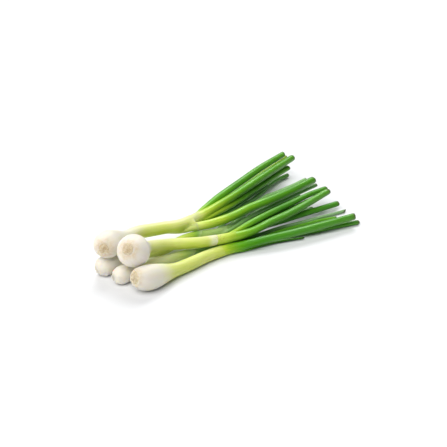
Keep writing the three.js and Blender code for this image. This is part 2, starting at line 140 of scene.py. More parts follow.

# The onions. bulb: neck is the length of its neck, rim and plate are radii at its root end, roots is the
# number of root stubs, and earth is how earthy that end is. green: how far from white to leaf green, by
# the distance along the route. bloom: the grey wax on it. The angle and share given for painted shade: the
# side of the stem that is painted darker and deeper green as shade, the opposite side paler as painted light,
# and by how much. Angles round a stem go from its right, seen along it, over its top.
# rims: where a sheath ends on the stem, with the direction of its longest side, how far it slants, the
# papery share and its length, the blush of its edge, and the leaf numbers that it frees. The last rim is
# the stem's mouth. speck: where brown specks lie, how far they reach and how strong they are. curl:
# where a torn strip stands up, its direction, length and width.
ONIONS = {
    "front": {
        "bulb": {"radius": 12.5, "neck": 38, "rim": 7.2, "plate": 5.6, "roots": 56, "earth": 0.75},
        "stem": {"length": 122, "radius": 6.7, "end": 5.4},
        "route": [(-138.5, -32, 18.2), (-123.5, -32.3, 12.7), (-103, -32, 9.6), (-86, -31.5, 7.4),
                  (-68, -31, 6.9), (-50, -30, 6.6), (-32, -31, 6.2), (-17, -34, 6.2), (0, -41, 7.8),
                  (14, -47, 9.6), (43, -57, 10.8), (78, -66, 11.3), (122, -75, 11.3)],
        "green": [(0, 0), (24, 0.03), (34, 0.13), (44, 0.26), (60, 0.3), (96, 0.28), (110, 0.36),
                  (118, 0.54), (125, 0.67), (131, 0.82), (140, 0.94), (150, 1), (190, 1), (270, 0.97)],
        "bloom": [(0, 0), (150, 0), (190, 0.1)],
        "painted_shade": (-0.9, 0.12),
        "rims": [{"at": 112, "toward": 4.2, "slant": 2.5, "paper": 0.05, "long": 9, "blush": 0.05},
                 {"at": 130, "toward": 5.4, "slant": 3}],
    },
    "top": {
        "bulb": {"radius": 16, "neck": 25, "rim": 6.4, "plate": 5, "roots": 50, "earth": 0.8},
        "stem": {"length": 128, "radius": 6.2, "end": 5.4},
        "route": [(-135.4, -18.5, 42), (-124.3, -12.5, 34), (-100, -5, 26), (-80, -3, 20), (-65, -8, 17.8),
                  (-48, -18, 17.2), (-32, -23, 16), (-16, -28, 15.6), (8, -33, 15.6), (37, -32, 16.4),
                  (67, -32, 17.2), (100, -29, 18.4), (132, -26, 20.1)],
        "green": [(0, 0), (28, 0.03), (38, 0.2), (60, 0.26), (92, 0.33), (110, 0.32), (120, 0.38),
                  (130, 0.48), (140, 0.62), (152, 0.74), (180, 0.86), (215, 0.95), (280, 0.9)],
        "bloom": [(0, 0), (280, 0.1)],
        "speck": (119, 6, 0.7),
        "painted_shade": (-0.9, 0.32),
        "rims": [{"at": 116, "toward": 1.2, "slant": 1.5, "paper": 0.75, "long": 11, "blush": 0.1},
                 {"at": 137, "toward": 2.2, "slant": 3}],
    },
    "small": {
        "bulb": {"radius": 9, "neck": 25, "rim": 4.2, "plate": 3.2, "roots": 26, "earth": 0.15},
        "stem": {"length": 128, "radius": 4.7, "end": 4.2},
        "route": [(-144.2, -4.7, 9.1), (-136, -6.6, 8.8), (-117, -4, 8), (-98, -4, 6.9), (-81, -8, 6),
                  (-67, -10, 5.6), (-53, -12, 5.4), (-36, -14, 5.2), (-20, -18, 5), (2, -24, 4.2),
                  (28, -27, 3.1), (54.8, -29.6, 2.5), (79.3, -35.5, 2.2), (111.7, -42.2, 2.1),
                  (137.8, -48, 2.1)],
        "green": [(0, 0), (24, 0.03), (40, 0.08), (60, 0.14), (74, 0.28), (86, 0.5), (100, 0.74),
                  (130, 0.8), (160, 0.9), (300, 0.96)],
        "bloom": [(0, 0), (45, 0.05), (60, 0.25), (90, 0.5), (180, 0.5), (215, 0.85), (290, 0.8)],
        "painted_shade": (-0.9, 0.1),
        "rims": [{"at": 91, "toward": 1.0, "slant": 4, "paper": 0.2, "long": 8, "blush": 0.1},
                 {"at": 134, "toward": 2.0, "slant": 3}],
    },
    "low": {
        "bulb": {"radius": 9.9, "neck": 29, "rim": 4.6, "plate": 3.5, "roots": 30, "earth": 0.35},
        "stem": {"length": 146, "radius": 5.2, "end": 4.3},
        "route": [(-147.7, 19.1, 7.9), (-138.8, 17.4, 9.5), (-121, 17.2, 9.2), (-104, 15, 8),
                  (-87, 10.5, 7), (-71, 6.8, 8), (-57, 6.5, 10.4), (-42, 8.2, 9.6), (-30, 6, 9.4),
                  (-21, 1, 9.8), (-11, -3.2, 9.6), (1, -2.6, 8.7), (14, 2, 7.2), (32, 9, 7.4),
                  (60, 20, 7.4), (86.2, 26.8, 7), (110.1, 27.5, 6.5), (126.6, 27.8, 6.8), (154, 29.2, 7.6)],
        "green": [(0, 0), (28, 0.03), (48, 0.2), (80, 0.34), (104, 0.4), (112, 0.5), (118, 0.6),
                  (128, 0.42), (140, 0.46), (150, 0.56), (175, 0.8), (220, 0.9), (310, 0.84)],
        "bloom": [(0, 0), (60, 0.1), (112, 0.1), (125, 0.5), (150, 0.6), (310, 0.55)],
        "painted_shade": (1.9, 0.15),
        "rims": [{"at": 122, "toward": 1.8, "slant": 3, "paper": 0.2, "long": 5, "blush": 0.1},
                 {"at": 150, "toward": 2.0, "slant": 4}],
        "curl": (121, 1.9, 7, 2.6),
    },
    "rear": {
        "bulb": {"radius": 13.5, "neck": 33, "rim": 5.8, "plate": 4.6, "roots": 42, "earth": 0.9},
        "stem": {"length": 138, "radius": 7, "end": 6},
        "route": [(-145, 8, 35), (-135.6, 15.4, 33.2), (-110, 23, 28), (-90, 28, 25), (-76, 27, 22.9),
                  (-60, 23, 21.8), (-46, 19, 20.8), (-30, 19, 20.5), (-15, 20, 21), (7, 23, 22.3),
                  (42, 29, 24.3), (79, 36, 26.6), (118, 45, 27.4), (154, 53, 28.3)],
        "green": [(0, 0), (34, 0.03), (50, 0.1), (66, 0.24), (84, 0.27), (104, 0.25), (124, 0.22),
                  (134, 0.3), (142, 0.42), (152, 0.5), (168, 0.58), (186, 0.72), (206, 0.82), (240, 0.9),
                  (308, 0.9)],
        "bloom": [(0, 0), (308, 0.1)],
        "painted_shade": (-0.8, 0.45),
        "rims": [{"at": 123, "toward": 5.2, "slant": 2, "blush": 0.05, "frees": (2,)},
                 {"at": 131, "toward": 2.1, "slant": 6, "blush": 0.08}],
    },
}

# Their leaves. base: the radius at the leaf's base. cut: the slope of its cut end. brown: how brown that
# end's edge is and how far. The first leaf follows its onion's own route and green.
LEAVES = {
    "front": [
        {"radius": 4.5, "base": 4.5, "cut": -0.2, "brown": (0.95, 5)},
        {"radius": 3.1, "base": 2.3, "cut": 0.3, "brown": (0.95, 4.5),
         "green": [(0, 0.7), (20, 0.85), (45, 1), (160, 1)],
         "route": [(-24, -33, 5), (-6, -36.5, 3.6), (17, -39.5, 3.2), (50.6, -49.2, 3.1),
                   (83.9, -61.1, 3.1), (128, -75.8, 2.45)]},
        {"radius": 1.9, "base": 1.8, "cut": 0.5, "green": [(0, 0.7), (40, 0.95), (90, 0.9), (160, 0.75)],
         "route": [(-27, -30, 5.5), (-6, -31, 3.8), (18, -33, 2.8), (48, -34.4, 2.3), (75.3, -39.6, 2.1),
                   (101, -45.4, 2), (118.3, -51.8, 2)]},
        {"radius": 1.4, "base": 1.3, "cut": 0.3, "green": [(0, 0.8), (90, 1)],
         "route": [(-24, -34.5, 4), (-6, -40, 2), (15, -43.2, 1.6), (36, -49.6, 1.5), (59.6, -60.2, 1.5)]},
    ],
    "top": [
        {"radius": 4.3, "base": 4.8, "cut": 0.15, "brown": (0.95, 5)},
        {"radius": 3.5, "base": 2.2, "cut": 0.2,
         "green": [(0, 0.5), (18, 0.56), (30, 0.72), (60, 0.9), (90, 1), (170, 0.95)],
         "route": [(-26, -25, 16.5), (-8, -27, 18.9), (13, -27, 21.5), (44, -24, 21.5), (77, -20, 19.8),
                   (110, -18, 20), (137, -18, 19)]},
        {"radius": 2.1, "base": 1.8, "cut": 0.3, "green": [(0, 0.8), (40, 1), (130, 1)],
         "route": [(-24, -26, 15), (-6, -25.5, 15.3), (12, -24.5, 16), (30, -23.5, 16.1), (48, -22.8, 15.6),
                   (77, -21.3, 14.4), (108, -20, 14.8)]},
    ],
    "small": [
        {"radius": 2.1, "base": 3.6, "cut": -1.2},
        {"radius": 3.8, "base": 2.3, "cut": 0.1, "brown": (0.9, 4),
         "green": [(0, 0.75), (40, 0.92), (90, 1), (170, 1)],
         "route": [(-28, -16, 6.5), (-14, -19, 9), (8, -24, 10), (30, -24, 10), (57.6, -26.5, 8.6),
                   (85.2, -29.3, 7.8), (113.1, -32.9, 7.1), (137.7, -36.5, 7)]},
        {"radius": 3.1, "base": 2, "cut": 0.4, "green": [(0, 0.7), (40, 0.92), (90, 1), (150, 1)],
         "route": [(-28, -15, 5), (-10, -14, 4.2), (10, -13, 3.4), (45, -14, 3), (83, -18.6, 3),
                   (112.5, -21.5, 3)]},
    ],
    "low": [
        {"radius": 3.4, "base": 3.7, "cut": -0.2},
        {"radius": 2.6, "base": 1.8, "cut": 0.1, "brown": (0.95, 4.5),
         "green": [(0, 0.55), (20, 0.7), (60, 0.9), (90, 1), (170, 1)],
         "bloom": [(0, 0.6), (60, 0.6), (100, 0.2), (170, 0.4)],
         "route": [(-16, -2.5, 9.4), (-3.5, -7.8, 9.4), (12.1, -5.8, 9.5), (46.2, 1.4, 10.4),
                   (79.5, 3.6, 11), (110.1, 5, 11), (148, 7, 11)]},
        {"radius": 2.9, "base": 2.3, "cut": 0.4,
         "green": [(0, 0.6), (40, 0.8), (80, 0.9), (110, 1), (190, 0.95)],
         "bloom": [(0, 0.5), (90, 0.6), (120, 0.2), (190, 0.2)],
         "route": [(-18, -0.5, 7.2), (-2, 6, 5.6), (20.7, 19.5, 5.4), (36, 29.5, 5), (54.2, 34.2, 4.6),
                   (70.5, 35.8, 4.2), (97.8, 44.6, 4), (130.7, 56.8, 3.8), (154.1, 60.3, 3)]},
        {"radius": 2.2, "base": 1.7, "cut": 0.2, "green": [(0, 0.7), (60, 1), (140, 1)],
         "route": [(-16, -3.4, 7.8), (-3, -7.2, 4.4), (8.6, -5, 4.2), (22.6, -1.1, 4.5), (41, 3.1, 4.5),
                   (58.3, 5.7, 4.6), (74.6, 6.8, 4.8), (90.1, 6.9, 5), (106.2, 7.2, 5), (122.1, 7, 5)]},
    ],
    "rear": [
        {"radius": 4.6, "base": 5, "cut": 0.1},
        {"radius": 5, "base": 3.8, "cut": 0.2,
         "green": [(0, 0.28), (30, 0.3), (46, 0.44), (58, 0.5), (70, 0.62), (84, 0.7), (104, 0.74),
                   (124, 0.84), (140, 0.93), (202, 0.97)],
         "route": [(-58, 23, 18.3), (-45, 18, 16), (-30, 11.3, 17.1), (-15, 5, 17.7), (10, 1, 18.5),
                   (38, 1, 20.2), (68, 0, 20.5), (99, 1, 20.5), (140, 5, 20.5)]},
        {"radius": 4.1, "base": 2.4, "cut": -0.3,
         "green": [(0, 0.42), (20, 0.58), (34, 0.78), (56, 0.85), (80, 0.92), (180, 0.9)],
         "route": [(-26, 20, 21.5), (-10, 26, 22.5), (8, 31, 23.8), (24, 34, 26.3), (62, 43, 28.6),
                   (101, 52, 31), (149, 63, 31)]},
        {"radius": 3.9, "base": 2.4, "cut": 0.3,
         "green": [(0, 0.44), (30, 0.52), (50, 0.6), (70, 0.74), (96, 0.9), (175, 0.92)],
         "route": [(-26, 18, 20), (-12, 17, 18.2), (7, 20, 17.3), (42, 28, 16.2), (79, 37, 16.5),
                   (120, 46, 18.2), (145, 51, 18.5)]},
        {"radius": 2.6, "base": 2, "cut": 0.3, "green": [(0, 0.5), (60, 0.7), (110, 0.62), (195, 0.56)],
         "route": [(-26, 21, 19.5), (-8, 29, 16.6), (20, 37, 16.2), (66, 48, 17.8), (106, 57, 19.6),
                   (138, 65, 20.5), (162, 72, 21)]},
        {"radius": 2.2, "base": 1.8, "cut": 0.2, "green": [(0, 0.7), (60, 1), (140, 1)],
         "route": [(-26, 17, 18), (-12, 14.5, 15.4), (4, 17.5, 13), (16, 20.8, 11.9), (28.5, 24, 11),
                   (51.7, 31.3, 10.1), (72.1, 37, 9.8), (92.3, 42, 9.6), (106, 44.8, 9.5)]},
    ],
}


def smooth(share):
    t = np.clip(share, 0, 1)
    return t * t * (3 - 2 * t)


def unit(vectors):
    return vectors / np.linalg.norm(vectors, axis=-1, keepdims=True)


def round_angles(sides):
    return np.linspace(0, 2 * math.pi, sides, endpoint=False)


class Route:
    """A smooth line through points, measured by the distance along it. It runs on straight past its ends."""

    STEPS = 40

    def __init__(self, points):
        p = np.array(points, float)
        p = np.vstack([2 * p[0] - p[1], p, 2 * p[-1] - p[-2]])
        t = np.linspace(0, 1, self.STEPS, endpoint=False)[:, None]
        places, slopes = [], []
        for a, b, c, d in zip(p, p[1:], p[2:], p[3:]):
            u, v, w = (math.sqrt(np.linalg.norm(k)) for k in (b - a, c - b, d - c))
            m = ((b - a) / u - (c - a) / (u + v) + (c - b) / v) * v
            n = ((c - b) / v - (d - b) / (v + w) + (d - c) / w) * v
            square, cube = 3 * (c - b) - 2 * m - n, 2 * (b - c) + m + n
            places.append(b + m * t + square * t**2 + cube * t**3)
            slopes.append(m + 2 * square * t + 3 * cube * t**2)
        places.append(p[-2:-1])
        slopes.append(slopes[-1][-1:])
        self.places = np.vstack(places)
        self.slopes = unit(np.vstack(slopes))
        steps = np.linalg.norm(np.diff(self.places, axis=0), axis=1)
        self.distances = np.concatenate([[0], np.cumsum(steps)])
        self.length = self.distances[-1]

    def frame(self, distance):
        """Place, direction and the two axes across it, for an array of distances of any shape."""
        distance = np.asarray(distance, float)
        held = np.clip(distance, 0, self.length)

        def read(rows):
            return np.stack([np.interp(held, self.distances, rows[:, k]) for k in range(3)], -1)

        tangent = unit(read(self.slopes))
        origin = read(self.places) + tangent * (distance - held)[..., None]
        side = unit(np.cross(tangent, [0, 0, 1]))
        return origin, tangent, side, np.cross(side, tangent)


def table(points, x):
    """Values at x, on straight lines between (x, value) points."""
    xs, ys = zip(*points)
    return np.interp(x, xs, ys)


def wander(rng, count, lowest, highest):
    """A smooth closed wave round a full turn, made of a few frequencies, about 1 high."""
    frequencies = rng.integers(lowest, highest + 1, count)
    waves = [(n, rng.uniform(0, 2 * math.pi), rng.uniform(0.5, 1)) for n in frequencies]
    return lambda angle: sum(s * np.cos(n * angle + p) for n, p, s in waves) / math.sqrt(count)


def add_object(name, data, facing=None):
    """A new object in the scene. A lamp or a camera looks away from the direction given as facing."""
    thing = bpy.data.objects.new(name, data)
    bpy.context.scene.collection.objects.link(thing)
    if facing is not None:
        thing.rotation_mode = "QUATERNION"
        thing.rotation_quaternion = facing.to_track_quat("Z", "Y")
    return thing


def mesh_piece(name, points, faces, material, slot, replaced, **values):
    """A piece with its place in its mesh, shaded smooth, with named values on its points."""
    mesh = bpy.data.meshes.new(name)
    mesh.from_pydata(((points + SHIFT) * MM).tolist(), [], faces)
    mesh.polygons.foreach_set("use_smooth", [True] * len(mesh.polygons))
    for key, rows in values.items():
        rows = np.asarray(rows, np.float32)
        kind, field = ("FLOAT", "value") if rows.ndim == 1 else ("FLOAT_VECTOR", "vector")
        mesh.attributes.new(key, kind, "POINT").data.foreach_set(field, rows.ravel())
    mesh.update()
    mesh.materials.append(material)
    piece = add_object(name, mesh)
    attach(piece, "root")
    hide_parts(*replaced)


def ring_faces(rings, sides):
    """Quads between rings of points, with a fan on the first and the last point."""
    faces = []
    end, last = 1 + (rings - 1) * sides, 1 + rings * sides
    for k in range(sides):
        j = (k + 1) % sides
        faces += [(0, 1 + j, 1 + k), (end + k, end + j, last)]
    for low in range(1, end, sides):
        high = low + sides
        for k in range(sides):
            j = (k + 1) % sides
            faces.append((low + k, low + j, high + j, high + k))
    return faces


def moved(faces, count):
    """Faces whose points come after this many others."""
    return [tuple(count + i for i in face) for face in faces]


def capped(rows):
    """Ring values with the mean of the first and of the last ring added at the ends."""
    flat = rows.reshape(-1, *rows.shape[2:])
    return np.concatenate([rows[:1].mean(1), flat, rows[-1:].mean(1)])


def turned(route, distance, radius, angle, tall=1.0):
    """Points round a route: distance and radius are (rings, sides), angle is (sides,)."""
    origin, _, side, top = route.frame(distance)
    across = (radius * np.cos(angle))[..., None]
    up = (radius * np.sin(angle))[..., None]
    return origin + side * across + top * up * tall


def above_table(points):
    points[..., 2] = np.maximum(points[..., 2], 0.0)
    return points


# ---------------- materials

# From the white of the bulb, through the stem, to the green of a leaf.
GREENING = [
    (0.0, (0.79, 0.75, 0.685)),
    (0.12, (0.76, 0.76, 0.48)),
    (0.25, (0.68, 0.73, 0.24)),
    (0.38, (0.56, 0.67, 0.09)),
    (0.5, (0.42, 0.6, 0.03)),
    (0.62, (0.24, 0.465, 0.01)),
    (0.78, (0.115, 0.37, 0.004)),
    (1.0, (0.048, 0.235, 0.005)),
]
WAX = (0.28, 0.43, 0.25)
PAPER = (0.74, 0.76, 0.56)
SPECK = (0.4, 0.3, 0.04)
BLUSH = (0.66, 0.5, 0.34)
EARTH = (0.66, 0.52, 0.33)
LEAF_INSIDE = (0.3, 0.5, 0.14)
DRIED_TIP = (0.1, 0.1, 0.05)
ROOT_TONES = [(0.36, (0.5, 0.34, 0.15)), (0.48, (0.73, 0.56, 0.33)), (0.62, (0.85, 0.75, 0.55))]
ROOT_DRIED = (0.5, 0.32, 0.13)
ROOT_PALE = (0.76, 0.72, 0.62)
FLOOR_WHITE = (0.78, 0.79, 0.81, 1)


class Shader:
    """A short way to write node materials."""

    def __init__(self, name):
        self.material = bpy.data.materials.new(name)
        self.material.use_nodes = True
        self.tree = self.material.node_tree
        self.bsdf = self.tree.nodes["Principled BSDF"]

    def add(self, kind, inputs=None, **settings):
        node = self.tree.nodes.new(kind)
        for key, value in settings.items():
            setattr(node, key, value)
        for key, value in (inputs or {}).items():
            self.put(node.inputs[key], value)
        return node

    def put(self, socket, value):
        if isinstance(value, bpy.types.NodeSocket):
            self.tree.links.new(value, socket)
        else:
            socket.default_value = value

    def value(self, name):
        return self.add("ShaderNodeAttribute", attribute_name=name).outputs["Fac"]

    def vector(self, name, scale):
        found = self.add("ShaderNodeAttribute", attribute_name=name).outputs["Vector"]
        return self.add("ShaderNodeMapping", {"Vector": found, "Scale": scale}).outputs["Vector"]

    def noise(self, vector, scale=1.0, detail=2.0, rough=0.5):
        inputs = {"Vector": vector, "Scale": scale, "Detail": detail, "Roughness": rough}
        return self.add("ShaderNodeTexNoise", inputs).outputs["Fac"]

    def math(self, operation, a, b, clamp=False):
        node = self.add("ShaderNodeMath", operation=operation, use_clamp=clamp)
        self.put(node.inputs[0], a)
        self.put(node.inputs[1], b)
        return node.outputs["Value"]

    def remap(self, value, low, high, to_low, to_high):
        inputs = {"Value": value, "From Min": low, "From Max": high, "To Min": to_low, "To Max": to_high}
        return self.add("ShaderNodeMapRange", inputs).outputs["Result"]

    def ramp(self, value, stops):
        node = self.add("ShaderNodeValToRGB", {"Fac": value})
        elements = node.color_ramp.elements
        while len(elements) < len(stops):
            elements.new(0.5)
        for element, (at, colour) in zip(elements, stops):
            element.position = at
            element.color = (*colour, 1)
        return node.outputs["Color"]

    def mix(self, share, a, b):
        node = self.add("ShaderNodeMix", data_type="RGBA")
        self.put(node.inputs["Factor"], share)
        for key, value in (("A", a), ("B", b)):
            socket = [s for s in node.inputs if s.name == key and s.type == "RGBA"][0]
            self.put(socket, (*value, 1) if isinstance(value, tuple) else value)
        return [s for s in node.outputs if s.type == "RGBA"][0]

    def greened(self, veins, broad, lines, patches):
        """The piece's own green, varied by veins and by broad patches, each by the share given."""
        lined = self.math("MULTIPLY", self.math("SUBTRACT", veins, 0.5), lines)
        drift = self.math("MULTIPLY", self.math("SUBTRACT", broad, 0.5), patches)
        hue = self.math("ADD", self.value("green"), self.math("ADD", lined, drift), clamp=True)
        return self.ramp(hue, GREENING)

    def bump(self, height, distance):
        return self.add("ShaderNodeBump", {"Height": height, "Distance": distance}).outputs["Normal"]

    def finish(self, **inputs):
        for key, value in inputs.items():
            self.put(self.bsdf.inputs[key.replace("_", " ")], value)
        return self.material


def onion_skin():
    """Bulbs and stems. The thin skin at a stem's mouth scatters no light."""
    s = Shader("onion_skin")
    green = s.value("green")
    veins = s.noise(s.vector("grain", (16, 16, 0.35)), 1.0, 3.0, 0.6)
    broad = s.noise(s.vector("grain", (2.2, 2.2, 0.5)), 1.0, 2.0)
    colour = s.greened(veins, broad, s.remap(green, 0, 0.3, 0.08, 0.18), s.remap(green, 0, 0.3, 0.05, 0.14))
    waxy = s.mix(s.value("bloom"), colour, WAX)
    papery = s.mix(s.value("dry"), waxy, PAPER)
    blots = s.noise(s.vector("grain", (3.0, 3.0, 5.0)), 1.0, 2.0)
    specks = s.math("MULTIPLY", s.remap(blots, 0.56, 0.66, 0.0, 1.0), s.value("speck"))
    specked = s.mix(specks, papery, SPECK)
    blushed = s.mix(s.value("blush"), specked, BLUSH)
    mottled = s.noise(s.vector("place", (1.0, 1.0, 1.0)), 0.42, 3.0, 0.6)
    patches = s.math("MULTIPLY", s.remap(mottled, 0.35, 0.65, 0.35, 1.0), s.value("earth"))
    fine = s.noise(s.vector("grain", (34, 34, 0.6)), 1.0, 2.0)
    return s.finish(
        Base_Color=s.mix(patches, blushed, EARTH),
        Roughness=s.remap(broad, 0.3, 0.7, 0.38, 0.5),
        Specular_IOR_Level=0.28,
        Subsurface_Weight=s.remap(s.value("thin"), 0, 1, 0.75, 0.0),
        Subsurface_Radius=(1.0, 0.82, 0.42),
        Subsurface_Scale=0.007,
        Normal=s.bump(s.math("ADD", veins, fine), 0.00012),
    )


def leaf_skin():
    s = Shader("leaf_skin")
    veins = s.noise(s.vector("grain", (12, 12, 0.25)), 1.0, 3.0, 0.65)
    broad = s.noise(s.vector("grain", (1.6, 1.6, 0.5)), 1.0, 2.0)
    colour = s.greened(veins, broad, 0.28, 0.2)
    wax = s.math("MULTIPLY", s.value("bloom"), s.remap(broad, 0.35, 0.65, 0.6, 1.0))
    waxy = s.mix(wax, colour, WAX)
    inner = s.mix(s.value("inside"), waxy, LEAF_INSIDE)
    ripple = s.noise(s.vector("grain", (0.8, 0.8, 7.0)), 1.0, 2.0)
    return s.finish(
        Base_Color=s.mix(s.value("dry"), inner, DRIED_TIP),
        Roughness=s.remap(broad, 0.3, 0.7, 0.25, 0.35),
        Specular_IOR_Level=0.5,
        Specular_Tint=(0.6, 1.0, 0.45, 1),
        Subsurface_Weight=0.1,
        Subsurface_Radius=(0.5, 1.0, 0.2),
        Subsurface_Scale=0.0015,
        Normal=s.bump(s.math("ADD", veins, s.math("MULTIPLY", ripple, 0.8)), 0.00016),
    )


def root_skin():
    """Root plates and their stubs. The values in grain are places in mm."""
    s = Shader("root_skin")
    mottled = s.noise(s.vector("grain", (1.0, 1.0, 1.0)), 0.42, 3.0, 0.6)
    grainy = s.noise(s.vector("grain", (1.0, 1.0, 1.0)), 1.6, 3.0, 0.6)
    shade = s.math("ADD", s.math("MULTIPLY", mottled, 0.7), s.math("MULTIPLY", grainy, 0.3))
    browned = s.mix(s.value("dry"), s.ramp(shade, ROOT_TONES), ROOT_DRIED)
    return s.finish(
        Base_Color=s.mix(s.value("pale"), browned, ROOT_PALE),
        Roughness=s.remap(grainy, 0.3, 0.7, 0.7, 0.88),
        Specular_IOR_Level=0.25,
        Subsurface_Weight=0.4,
        Subsurface_Radius=(1.0, 0.7, 0.4),
        Subsurface_Scale=0.003,
        Normal=s.bump(grainy, 0.00025),
    )


# ---------------- leaves


class Leaf:
    """A hollow leaf on its route, from a start to its cut tip."""

    def __init__(self, data, route, start, mouth=None):
        self.data, self.route, self.start = data, route, start
        self.length = route.length
        self.mouth = mouth  # the first leaf fills the stem's mouth: (distance, radius)
        self.first_ring = start if mouth is None else min(start, mouth[0] - INNER_START)

    def radius(self, distance):
        data = self.data
        share = smooth((distance - self.start) / LEAF_SWELL)
        grown = data["base"] + (data["radius"] - data["base"]) * share
        if self.mouth is not None:
            at, wide = self.mouth
            grown = grown + (wide - grown) * smooth(1 - (distance - at) / MOUTH_BLEND)
        return grown * (1 - TIP_NARROWING * smooth((distance - self.length) / TIP_LENGTH + 1))

    def section(self, origin, tangent, side, top):
        """The leaf's centre and radius in a plane across the stem, or None where it isn't there."""
        away = self.route.places - origin
        near = np.linalg.norm(away, axis=1) < NEAR_STEM
        if not near.any():
            return None
        off = np.where(near, np.abs(away @ tangent), np.inf)
        i = int(off.argmin())
        if off[i] > ON_SECTION:
            return None
        return away[i] @ side, away[i] @ top, self.radius(self.route.distances[i])


def grain(angle, along, rng):
    """Each point's place in the skin's grain: round the piece, and ten times slower along it."""
    spread = np.ones((len(along), len(angle)))
    lengthwise = along[:, None] * spread / 10 + rng.uniform(0, 50)
    return np.stack([np.cos(angle) * spread, np.sin(angle) * spread, lengthwise], -1)


def twist_along(along, rng):
    """A slow chance turn of the leaf's ridges round it."""
    sway = np.cumsum(rng.normal(0, 1, len(along)))
    sway = np.interp(along, along[::8], sway[::8])
    sway -= np.linspace(sway[0], sway[-1], len(along))
    return LEAF_TWIST * sway / (np.abs(sway).max() + 1e-6)


def hollow_rings(leaf, along, out_at, outer):
    """The rings over the cut edge and back down the bore: ring, distance, radius, share of inner colour."""
    hollow = along > leaf.start + LEAF_SOLID
    thinned = 1 - WALL_THINNING * np.clip(1 - (leaf.length - along)[hollow] / THIN_LENGTH, 0, 1)
    bore = outer[hollow] - LEAF_WALL * thinned[:, None]
    rings = []
    for across, shade in LIP_RINGS:
        lip = outer[-1:] + (bore[-1:] - outer[-1:]) * across
        rings.append((along[-1:], out_at[-1:] + LIP_HEIGHT, lip, shade))
    rings.append((along[hollow][::-1], out_at[hollow][::-1] - BORE_INSET, bore[::-1], 1.0))
    return rings


def build_leaf(name, leaf, rng, material):
    """One leaf: its outside with a slanted, ragged cut, and its bore."""
    data = leaf.data
    angle = round_angles(LEAF_SIDES)
    count = int((leaf.length - leaf.first_ring) / LEAF_STEP)
    along = np.linspace(leaf.first_ring, leaf.length, count + 1)
    to_tip = leaf.length - along
    wave, ridges = wander(rng, 3, 2, 4), wander(rng, 6, 9, 17)
    uneven = wander(rng, 5, 3, 14)
    twisted = angle[None, :] + twist_along(along, rng)[:, None]
    shape = 1 + LEAF_WAVE * wave(twisted) - LEAF_TRIM
    outer = leaf.radius(along)[:, None] * shape + LEAF_RIDGE * ridges(twisted)
    outer *= (1 - PINCH * np.clip(1 - to_tip / PINCH_LENGTH, 0, 1) ** 2)[:, None]
    lean = data["cut"] * smooth(1 - to_tip / CUT_LENGTH)[:, None]
    edge = RAGGED * uneven(angle)[None, :] * np.clip(1 - to_tip / RAGGED_LENGTH, 0, 1)[:, None]
    out_at = along[:, None] + lean * outer * np.cos(angle) + edge
    rings = [(along, out_at, outer, 0.0)]
    if data["radius"] >= SOLID_LEAF_RADIUS:
        rings += hollow_rings(leaf, along, out_at, outer)
    ring = np.concatenate([one[0] for one in rings])
    distance, radius = (np.vstack([one[k] for one in rings]) for k in (1, 2))
    inside = np.concatenate([np.full(len(one[0]), one[3]) for one in rings])
    brown, reach = data.get("brown", BROWN_TIP)
    patchy = 1 + BROWN_UNEVEN * uneven(angle + 1.0)
    dry = brown * np.clip(1 - (leaf.length - ring)[:, None] / (reach * patchy), 0, 1) ** BROWN_FALL
    spread = np.ones((len(ring), LEAF_SIDES))
    values = {
        "green": table(data["green"], ring)[:, None] * spread,
        "bloom": table(data.get("bloom", [(0, 0.05)]), ring)[:, None] * spread,
        "dry": dry * spread,
        "inside": inside[:, None] * spread,
        "grain": grain(angle, ring, rng),
    }
    values = {key: capped(rows) for key, rows in values.items()}
    points = capped(turned(leaf.route, distance, radius, angle, LEAF_TALL))
    mesh_piece(name, points, ring_faces(len(ring), LEAF_SIDES), material, "leaf", [name], **values)


# ---------------- bulbs with their stems


def hull_radius(circles, angle):
    """How far the skin stretched round a set of circles (u, v, r) lies from the middle, for each angle."""
    reach = np.max([u * np.cos(angle) + v * np.sin(angle) + r for u, v, r in circles], axis=0)
    facing = np.cos(angle[:, None] - angle[None, :])
    stretched = reach[None, :] / np.maximum(facing, WIDEST_TURN)
    return np.where(facing > WIDEST_TURN, stretched, np.inf).min(1)


